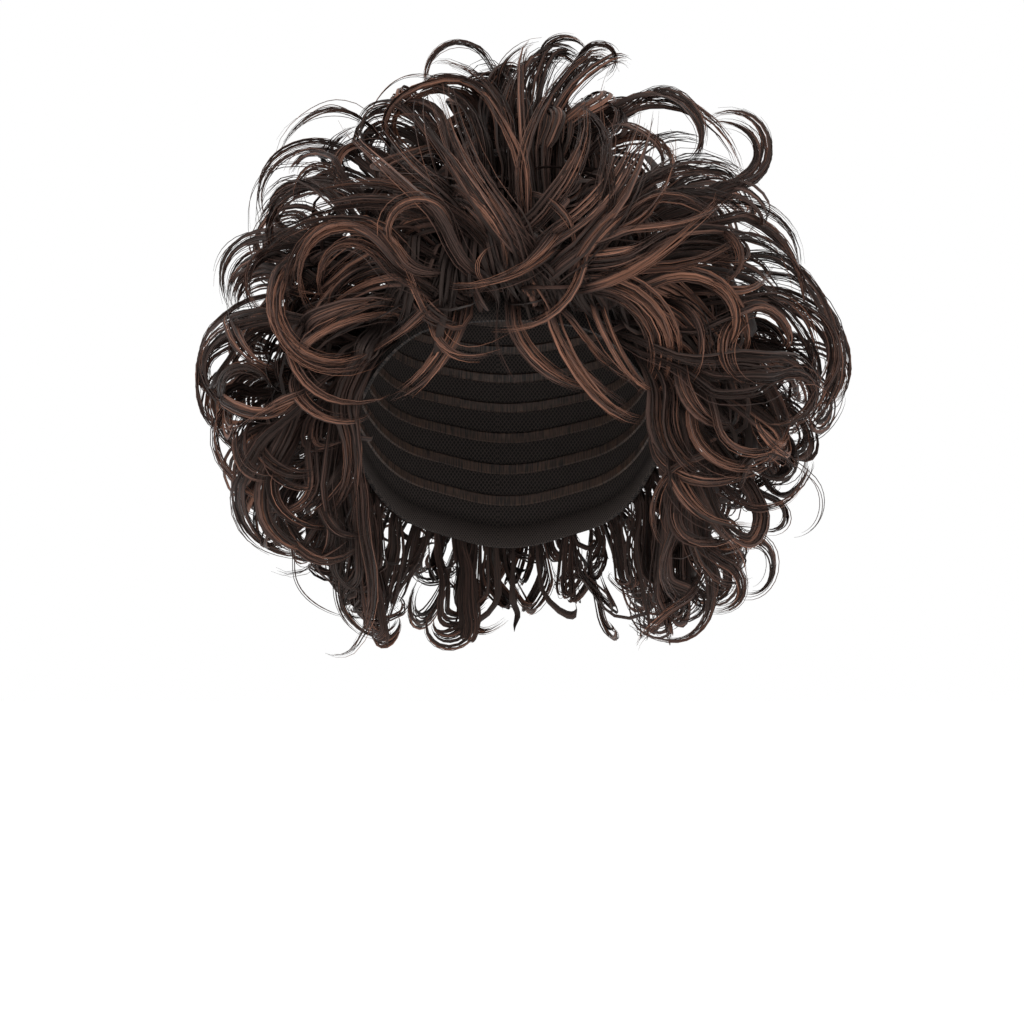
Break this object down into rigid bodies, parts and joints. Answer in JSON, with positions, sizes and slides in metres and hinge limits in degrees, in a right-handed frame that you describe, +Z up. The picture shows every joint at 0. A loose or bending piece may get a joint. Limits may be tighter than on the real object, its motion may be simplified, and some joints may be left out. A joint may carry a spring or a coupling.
{
  "type": "wig",
  "caption": "Short, full curly wig: an open cap carrying tufts of curled hair in tiers round a hollow, with loose fringe locks over the brow opening.",
  "frame": {"origin": "inside of the cap's crown, where the top of the wearer's head sits", "axes": "+Z up, -Y out through the brow opening, +X to the side that is on the wearer's left"},
  "size_m": [0.3195, 0.2819, 0.2884],
  "materials": {
    "hair": "dark brown curled synthetic hair with auburn strands and a soft gloss",
    "cap_net": "dark brown elastic net with rows of weft"
  },
  "bodies": {
    "root": {"cap": "cap_net", "crown_tuft_1": "hair", "crown_tuft_2": "hair", "crown_tuft_3": "hair", "crown_tuft_4": "hair", "crown_tuft_5": "hair", "upper_tuft_1": "hair", "upper_tuft_2": "hair", "upper_tuft_3": "hair", "upper_tuft_4": "hair", "upper_tuft_5": "hair", "upper_tuft_6": "hair", "upper_tuft_7": "hair", "upper_tuft_8": "hair", "upper_tuft_9": "hair", "upper_tuft_10": "hair", "middle_tuft_1": "hair", "middle_tuft_2": "hair", "middle_tuft_3": "hair", "middle_tuft_4": "hair", "middle_tuft_5": "hair", "middle_tuft_6": "hair", "middle_tuft_7": "hair", "middle_tuft_8": "hair", "lower_tuft_1": "hair", "lower_tuft_2": "hair", "lower_tuft_3": "hair", "lower_tuft_4": "hair", "lower_tuft_5": "hair", "lower_tuft_6": "hair", "lower_tuft_7": "hair", "nape_tuft_1": "hair", "nape_tuft_2": "hair", "nape_tuft_3": "hair", "nape_tuft_4": "hair", "nape_tuft_5": "hair", "nape_tuft_6": "hair", "fringe_lock_1": "hair", "fringe_lock_2": "hair", "fringe_lock_3": "hair", "fringe_lock_4": "hair", "fringe_lock_5": "hair"}
  },
  "joints": []
}
